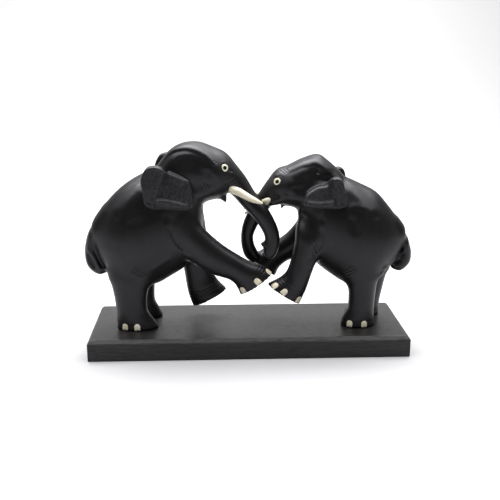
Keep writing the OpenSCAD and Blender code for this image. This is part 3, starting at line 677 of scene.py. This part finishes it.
def tusk(name, line, material):
    """A bone tusk whose root runs into its seat and whose point is worn round."""
    sides = 36
    s = np.array(rounded_path(line, 8))
    inward = s[0, 0:3] - s[2, 0:3]
    seat = s[0].copy()
    seat[0:3] += 3.0 * inward / np.linalg.norm(inward)
    s = np.vstack([seat, s])
    ahead = np.gradient(s[:, 0:3], axis=0)
    ahead /= np.linalg.norm(ahead, axis=1)[:, None]
    beside = np.cross(ahead, [0, 1, 0])
    beside /= np.linalg.norm(beside, axis=1)[:, None]
    above = np.cross(ahead, beside)
    radii = TUSK_R * s[:, 3]
    centres = s[:, 0:3].copy()
    tip_r = radii[-1]
    for turn in (30, 55, 75):                      # the rounded point
        angle = math.radians(turn)
        centres = np.vstack([centres, s[-1, 0:3] + ahead[-1] * tip_r * math.sin(angle)])
        radii = np.append(radii, tip_r * math.cos(angle))
        beside, above = np.vstack([beside, beside[-1]]), np.vstack([above, above[-1]])
    angles = np.linspace(0, 2 * math.pi, sides, endpoint=False)
    rings = [c + r * (np.cos(a) * u + np.sin(a) * v)
             for c, r, u, v in zip(centres, radii, beside, above) for a in angles]
    points = rings + [centres[0], s[-1, 0:3] + ahead[-1] * tip_r]
    faces = ring_faces(len(centres), sides, closed=True)
    new_piece(name + "_tusk_bone", points, faces, material, name + "_tusk")


def eye_frame(carving, side, distance):
    """The mouth of the eye hole and its outward, sideways and upward directions."""
    at_x, out, at_z = carving["eye"]
    mouth = np.array([at_x, carving["head_y"] + side * out, at_z])
    level = math.cos(EYE_TILT)
    outward = np.array([level * carving["facing"] * math.sin(EYE_TURN),
                        level * side * math.cos(EYE_TURN), math.sin(EYE_TILT)])
    sideways = np.cross([0, 0, 1], outward)
    sideways /= np.linalg.norm(sideways)
    for _ in range(4):
        mouth = mouth - np.clip(distance(*mouth[:, None]), -1, 1) * outward
    return mouth, outward, sideways, np.cross(outward, sideways)


def turned(profile, mouth, outward, sideways, upward, sides=48):
    """A turned shape: the profile's radius and height spun round the outward direction."""
    return [mouth + outward * h + r * (math.cos(a) * sideways + math.sin(a) * upward)
            for r, h in profile for a in np.linspace(0, 2 * math.pi, sides, endpoint=False)]


def eye(carving, side, distance, bone, horn):
    """A domed bone ring round a black horn pin."""
    sides = 48
    name = carving["name"] + ("_near" if side == NEAR else "_far")
    at = eye_frame(carving, side, distance)
    bore = PUPIL_R + 0.05
    dome = [(bore + (EYE_R - bore) * math.cos(a), EYE_PROUD * math.sin(a))
            for a in np.radians(np.arange(0, 91, 10))]
    profile = [(bore, -EYE_DEPTH), (EYE_R, -EYE_DEPTH), (EYE_R, -0.4)] + dome + [(bore, -0.2)]
    points = turned(profile, *at, sides=sides)
    faces = ring_faces(len(profile), sides)
    last = (len(profile) - 1) * sides
    faces += [(last + i, i, (i + 1) % sides, last + (i + 1) % sides) for i in range(sides)]
    new_piece(name + "_eye_ring_bone", points, faces, bone, name + "_eye_ring")

    pin = [(PUPIL_R, -EYE_DEPTH), (PUPIL_R, EYE_PROUD - 0.1)]
    pin += [(PUPIL_R * math.cos(a), EYE_PROUD - 0.1 + 0.35 * math.sin(a))
            for a in np.radians([15, 35, 55, 72])]
    points = turned(pin, *at, sides=sides)
    points += [at[0] - at[1] * EYE_DEPTH, at[0] + at[1] * (EYE_PROUD + 0.25)]
    faces = ring_faces(len(pin), sides, closed=True)
    new_piece(name + "_pupil_horn", points, faces, horn, name + "_pupil")


def on_section(s, angle, side):
    """A point on a section's outline, at an angle from its front end round the side given."""
    middle, arm = (s[0:2] + s[2:4]) / 2, (s[0:2] - s[2:4]) / 2
    x, z = middle + math.cos(angle) * arm
    return np.array([x, s[4] + side * math.sin(angle) * s[5], z])


def toenail(carving, leg, number, degrees, distance, material):
    """A flat-footed bone arch that follows the foot's side and is domed a little."""
    side = side_of(leg)
    sections = np.array(carving[leg], float)
    sole, above = sections[-1], sections[-2]
    angle, small = math.radians(degrees), math.radians(2)
    at = on_section(sole, angle, side)
    up = on_section(above, angle, side) - at
    up /= np.linalg.norm(up)
    beside = on_section(sole, angle + small, side) - on_section(sole, angle - small, side)
    across = beside - (beside @ up) * up
    across /= np.linalg.norm(across)
    out = np.cross(across, up)
    if out @ (at - (sole[[0, 4, 1]] + sole[[2, 4, 3]]) / 2) < 0:
        out, across = -out, -across
    foot = at + up                                   # the nail's foot is 1 mm above the sole

    shoulder = NAIL_H - NAIL_W / 2
    outline = [(-NAIL_W / 2 * 0.9 + t * NAIL_W * 0.9, 0) for t in np.linspace(0, 1, 9)]
    outline += [(NAIL_W / 2 * w, h) for w, h in ((0.98, 0.5), (1, 1.6), (1, 3))]
    outline += [(NAIL_W / 2 * math.cos(a), shoulder + NAIL_W / 2 * math.sin(a))
                for a in np.radians(np.arange(0, 181, 12))]
    outline += [(-NAIL_W / 2 * w, h) for w, h in ((1, 3), (1, 1.6), (0.98, 0.5))]
    outline = np.array(outline)
    heart = np.array([0, NAIL_H * 0.45])
    rings, sides = [], len(outline)
    for share, height in ((1, -NAIL_T), (1, -0.1), (0.985, 0.2), (0.93, 0.38), (0.8, 0.5),
                          (0.55, 0.62), (0.28, 0.68)):
        flat = heart + share * (outline - heart)
        points = foot + flat[:, :1] * across + flat[:, 1:] * up
        for _ in range(6):
            points = points - np.clip(distance(*points.T), -1, 1)[:, None] * out
        rings.append(points + height * out)
    hub = (rings[-1].mean(0) + 0.02 * out)[None]
    back = rings[0].mean(0)[None]
    points = np.vstack(rings + [back, hub])
    faces = ring_faces(len(rings), sides, closed=True)
    name = f"{carving['name']}_{leg}_nail_{number}"
    new_piece(name + "_bone", points, faces, material, name)


def plinth(material):
    """The plinth with softened, slightly worn edges and its four countersunk holes."""
    low, high = Vector(PLINTH[0]), Vector(PLINTH[1])
    chamfer = CHAMFER * MM
    form = bmesh.new()
    rows = []
    for z, inset in ((low.z, 0), (high.z - chamfer, 0), (high.z, chamfer)):
        rows.append([form.verts.new((x, y, z)) for x, y in (
            (low.x + inset, low.y + inset), (high.x - inset, low.y + inset),
            (high.x - inset, high.y - inset), (low.x + inset, high.y - inset))])
    form.faces.new(rows[0][::-1])
    form.faces.new(rows[2])
    for a, b in zip(rows, rows[1:]):
        for i in range(4):
            form.faces.new((a[i], a[(i + 1) % 4], b[(i + 1) % 4], b[i]))
    bmesh.ops.bevel(form, geom=list(form.edges), offset=SOFT_EDGE * MM, segments=3,
                    affect="EDGES")
    mesh = bpy.data.meshes.new("plinth_wood")
    form.to_mesh(mesh)
    form.free()
    mesh.materials.append(material)
    piece = add_object("plinth_wood", mesh)
    for name in CORNERS:
        drill(piece, name + "_screw")
    mesh.shade_smooth()
    mesh.set_sharp_from_angle(angle=SHARP)
    hand_in(piece, "plinth")


def drill(piece, screw):
    """Cuts a countersunk clearance hole round one screw."""
    low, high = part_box(screw)
    x, y = (low[0] + high[0]) / 2, (low[1] + high[1]) / 2
    head, shank, recess = 4.3 * MM, 2.3 * MM, low[2]
    profile = [(head, -MM), (head, recess), (shank, recess + 3 * MM), (shank, PLINTH[1][2] + MM)]
    sides = 32
    points = [(x + r * math.cos(a), y + r * math.sin(a), z) for r, z in profile
              for a in np.linspace(0, 2 * math.pi, sides, endpoint=False)]
    last = (len(profile) - 1) * sides
    faces = ring_faces(len(profile), sides)
    faces = [f[::-1] for f in faces] + [tuple(range(sides))[::-1], tuple(range(last, last + sides))]
    bit = add_object("drill", new_mesh("drill", points, faces))
    cut = piece.modifiers.new("hole", "BOOLEAN")
    cut.operation, cut.object, cut.solver = "DIFFERENCE", bit, "EXACT"
    ready = bpy.context.evaluated_depsgraph_get()
    done = bpy.data.meshes.new_from_object(piece.evaluated_get(ready))
    piece.modifiers.clear()
    piece.data.clear_geometry()
    form = bmesh.new()
    form.from_mesh(done)
    form.to_mesh(piece.data)
    form.free()
    bpy.data.objects.remove(bit)
    bpy.data.meshes.remove(done)


# ---- Finishes ----
class Shade:
    """One socket of a material, so that shader maths reads as Python expressions."""

    def __init__(self, tree, socket=None):
        self.tree = tree
        self.socket = socket

    def node(self, kind, settings=None, inputs=None, out=0):
        """Adds a node with its settings, then the values or links of its sockets."""
        made = self.tree.nodes.new(kind)
        for name, value in (settings or {}).items():
            setattr(made, name, value)
        for key, value in (inputs or {}).items():
            if isinstance(value, Shade):
                self.tree.links.new(value.socket, made.inputs[key])
            elif isinstance(value, tuple) and len(value) == 3 and made.inputs[key].type == "RGBA":
                made.inputs[key].default_value = (*value, 1)
            else:
                made.inputs[key].default_value = value
        return Shade(self.tree, made.outputs[out])

    def math(self, operation, *values):
        return self.node("ShaderNodeMath", {"operation": operation}, dict(enumerate(values)))

    def __add__(self, other):
        return self.math("ADD", self, other)

    def __sub__(self, other):
        return self.math("SUBTRACT", self, other)

    def __mul__(self, other):
        return self.math("MULTIPLY", self, other)

    def __rsub__(self, other):
        return self.math("SUBTRACT", other, self)

    __radd__ = __add__
    __rmul__ = __mul__

    def between(self, low, high):
        """0 below low, 1 above high and smooth between."""
        return self.node("ShaderNodeMapRange", {"interpolation_type": "SMOOTHSTEP"},
                         {"Value": self, "From Min": low, "From Max": high})

    def blend(self, a, b):
        """Colour a where this mask is 0 and b where it is 1."""
        return self.node("ShaderNodeMix", {"data_type": "RGBA"}, {0: self, 6: a, 7: b}, out=2)

    def stretched(self, scale):
        """This vector with each axis scaled."""
        return self.node("ShaderNodeVectorMath", {"operation": "MULTIPLY"}, {0: self, 1: scale})

    def noise(self, scale, detail=3.0, roughness=0.5, distortion=0.0):
        """Noise over this vector."""
        return self.node("ShaderNodeTexNoise", {}, {
            "Vector": self, "Scale": scale, "Detail": detail, "Roughness": roughness,
            "Distortion": distortion})


def plain(name, constants):
    """A material with these values on its shader."""
    material = bpy.data.materials.new(name)
    material.use_nodes = True
    for key, value in constants.items():
        material.node_tree.nodes["Principled BSDF"].inputs[key].default_value = value
    return material


def finish(name, constants):
    """A material with these values, its shader, and the place in the object, in metres."""
    material = plain(name, constants)
    tree = material.node_tree
    return material, tree.nodes["Principled BSDF"], Shade(tree).node("ShaderNodeTexCoord", out=3)


def feed(shader, colour, roughness, height, bump, strength):
    """Links what varies over the surface to the shader."""
    raised = height.node("ShaderNodeBump", {}, {"Strength": strength, "Distance": bump,
                                                "Height": height})
    for name, value in (("Base Color", colour), ("Roughness", roughness), ("Normal", raised)):
        height.tree.links.new(value.socket, shader.inputs[name])


def ebony():
    """Ebony finished by hand rubbing: near black, with brown streaks, fine pores and a dull satin
    polish, and a painted sheen that makes its ridges and tool-marked ear plates paler.
    """
    material, shader, place_at = finish("polished_ebony", {
        "Specular IOR Level": 0.5, "Specular Tint": (0.93, 0.92, 0.97, 1), "IOR": 1.43})
    along_grain = place_at.stretched((1.0, 1.0, 0.16))
    streaks = along_grain.noise(120, 5, 0.6, 0.4).between(0.48, 0.75)
    clouds = place_at.noise(28, 4, 0.55).between(0.35, 0.7)
    black = clouds.blend((0.002, 0.002, 0.002), (0.0045, 0.0043, 0.0043))
    colour = (streaks * 0.2).blend(black, (0.02, 0.013, 0.009))
    ridge = place_at.node("ShaderNodeAttribute", {"attribute_name": "ridge"}, out=2)
    # Painted sheen: raised ridges are blended towards a pale bluish grey, partly for wood worn pale
    # by handling and partly as a painted highlight.
    made_paler = ridge.between(0.05, 0.45) * clouds
    colour = (made_paler * 0.35).blend(colour, (0.035, 0.033, 0.04))
    on_ear = place_at.node("ShaderNodeAttribute", {"attribute_name": "tooled_painted_light"}, out=2)
    strokes = place_at.stretched((0.8, 1.0, 0.45)).noise(420, 4, 0.7, 2.0)
    # Painted light: tool strokes on the ear plates are blended towards a paler grey, standing for the
    # light that the up-facing plates catch.
    tooled_painted_light = on_ear * strokes.between(0.4, 0.62)
    colour = (tooled_painted_light * 0.6).blend(colour, (0.036, 0.035, 0.037))
    hands = place_at.noise(60, 4, 0.6)
    roughness = 0.32 + hands * 0.14 - made_paler * 0.06 + ridge.between(-0.02, -0.25) * 0.12
    roughness = roughness + on_ear * 0.08
    pores = place_at.stretched((1, 1, 0.08)).noise(1500, 2, 0.5).between(0.62, 0.75)
    tool_marks = place_at.noise(170, 2, 0.5)
    height = tool_marks * 0.6 - pores * 0.3 + on_ear * strokes * 0.5
    feed(shader, colour, roughness, height, bump=0.00025, strength=0.35)
    return material


def plinth_wood():
    """Close-grained wood stained black, satin on top and paler along its chamfer."""
    material, shader, place_at = finish("stained_plinth_wood", {
        "Specular IOR Level": 0.5, "IOR": 1.42})
    grain = place_at.stretched((0.06, 1, 1)).noise(420, 6, 0.65, 0.6)
    bands = place_at.stretched((0.12, 1, 1)).noise(60, 4, 0.5, 1.0)
    fine = place_at.stretched((0.03, 1, 1)).noise(1800, 3, 0.6)
    colour = grain.between(0.35, 0.7).blend((0.006, 0.006, 0.006), (0.02, 0.0195, 0.019))
    colour = (bands.between(0.45, 0.7) * 0.5).blend(colour, (0.016, 0.015, 0.013))
    height_m = place_at.node("ShaderNodeSeparateXYZ", {}, {0: place_at}, out=2)
    top_m = PLINTH[1][2]
    chamfer = height_m.between(top_m - 0.0042, top_m - 0.003)
    top = height_m.between(top_m - 0.0006, top_m - 0.0002)
    made_paler = chamfer * (1 - top)
    colour = (made_paler * fine * 0.5).blend(colour, (0.04, 0.039, 0.038))
    pores = place_at.stretched((0.09, 1, 1)).noise(1300, 3, 0.6, 0.3).between(0.52, 0.66)
    colour = (pores * 0.6).blend(colour, (0.002, 0.002, 0.002))
    roughness = 0.2 + grain * 0.2 + fine * 0.1 + pores * 0.2 + made_paler * 0.15
    height = grain * 0.6 + fine * 0.3 - pores * 0.8
    feed(shader, colour, roughness, height, bump=0.0002, strength=0.6)
    return material


def bone():
    """Polished bone: cream, with soft yellow streaks along its length and a warm depth."""
    material, shader, place_at = finish("bone", {
        "Specular IOR Level": 0.5, "Subsurface Weight": 0.12, "Subsurface Radius": (1.0, 0.6, 0.35),
        "Subsurface Scale": 0.002, "IOR": 1.54})
    streaks = place_at.stretched((0.25, 1, 1)).noise(450, 4, 0.6, 0.3)
    clouds = place_at.noise(120, 3, 0.5)
    colour = streaks.between(0.35, 0.7).blend((0.79, 0.75, 0.59), (0.68, 0.61, 0.42))
    colour = (clouds.between(0.5, 0.75) * 0.5).blend(colour, (0.84, 0.82, 0.7))
    roughness = 0.28 + clouds * 0.15
    feed(shader, colour, roughness, streaks, bump=0.0001, strength=0.3)
    return material


def black_horn():
    """Polished black horn for the pupils."""
    material, shader, place_at = finish("black_horn", {"Specular IOR Level": 0.5, "IOR": 1.54})
    cloud = place_at.noise(900, 3, 0.5)
    colour = cloud.between(0.4, 0.7).blend((0.006, 0.006, 0.006), (0.016, 0.014, 0.012))
    feed(shader, colour, 0.16 + cloud * 0.12, cloud, bump=0.00004, strength=0.3)
    return material


def screw_steel():
    """Turned steel of the screws."""
    material, shader, place_at = finish("steel_screw", {"Metallic": 1.0})
    lathe = place_at.stretched((1, 1, 6)).noise(900, 3, 0.6)
    colour = lathe.between(0.3, 0.7).blend((0.42, 0.42, 0.43), (0.6, 0.6, 0.61))
    feed(shader, colour, 0.28 + lathe * 0.2, lathe, bump=0.00005, strength=0.4)
    return material


# ---- Stage, lights and camera ----
def stage():
    """A pale floor that sweeps up behind the object."""
    depth, rise, bend, half = 1.6, 2.2, 0.9, 4.0
    profile = [(-3.0, 0.0), (depth, 0.0)]
    profile += [(depth + bend * math.sin(a), bend * (1 - math.cos(a)))
                for a in np.radians(np.arange(6, 91, 6))]
    profile += [(depth + bend, rise)]
    points = [(x, y, z) for y, z in profile for x in (-half, half)]
    faces = [(2 * i, 2 * i + 1, 2 * i + 3, 2 * i + 2) for i in range(len(profile) - 1)]
    mesh = new_mesh("floor", points, faces)
    mesh.shade_smooth()
    mesh.materials.append(plain("pale_floor", {
        "Base Color": (0.44, 0.44, 0.44, 1), "Roughness": 0.9, "Specular IOR Level": 0.1}))
    add_object("floor", mesh)


def soft_light(name, at, aim, wide, deep, power, colour):
    """A soft box at a place, aimed at a point."""
    light = bpy.data.lights.new(name, "AREA")
    light.shape, light.size, light.size_y, light.energy = "RECTANGLE", wide, deep, power
    light.color = colour
    box = add_object(name, light)
    box.location = at
    box.rotation_euler = (Vector(aim) - Vector(at)).to_track_quat("-Z", "Y").to_euler()


def lights():
    """Soft light from above and a pale room all round."""
    soft_light("overhead", (0.0, 0.25, 1.35), (0, 0.25, 0), 2.6, 1.8, 78, (0.97, 0.965, 1.0))
    soft_light("backdrop", (0.0, 0.9, 2.0), (0, 2.3, 0.5), 1.6, 1.6, 100, (1.0, 1.0, 1.0))
    world = bpy.data.worlds.new("room")
    world.use_nodes = True
    background = world.node_tree.nodes["Background"]
    background.inputs["Color"].default_value = (1.0, 1.0, 1.0, 1)
    background.inputs["Strength"].default_value = 0.1
    bpy.context.scene.world = world
    bpy.context.scene.view_settings.view_transform = "Standard"


def camera():
    """A long lens a little above the elephants, looking slightly down."""
    lens = bpy.data.cameras.new("camera")
    lens.lens, lens.sensor_width = 54.07, 36
    lens.clip_start = 0.02
    view = add_object("camera", lens)
    pitch, yaw, roll = math.radians(15.61), math.radians(2.85), math.radians(0.21)
    ahead = Vector((math.sin(yaw) * math.cos(pitch), math.cos(yaw) * math.cos(pitch),
                    -math.sin(pitch)))
    turn = ahead.to_track_quat("-Z", "Y").to_matrix()
    view.rotation_euler = (turn @ Matrix.Rotation(roll, 3, "Z")).to_euler()
    view.location = (-0.035, -0.740, 0.305)
    bpy.context.scene.camera = view


camera()
stage()
lights()

ebony_finish, bone_finish, horn_finish = ebony(), bone(), black_horn()
steel_finish = screw_steel()
left_form = carve(LEFT, LEFT_RELIEF, *LEFT_SPACE, ebony_finish)
right_form = carve(RIGHT, RIGHT_RELIEF, *RIGHT_SPACE, ebony_finish)
for tusk_name, tusk_line in TUSKS.items():
    tusk(tusk_name, tusk_line, bone_finish)
for elephant, form in ((LEFT, left_form), (RIGHT, right_form)):
    for eye_side in (NEAR, FAR):
        eye(elephant, eye_side, form, bone_finish, horn_finish)
    for leg in LEGS:
        for i, degrees in enumerate(elephant["nails"][leg.split("_")[1]]):
            toenail(elephant, leg, i + 1, degrees, form, bone_finish)
plinth(plinth_wood())
for corner in CORNERS:
    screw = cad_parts[corner + "_screw"].data
    screw.materials.clear()
    screw.materials.append(steel_finish)
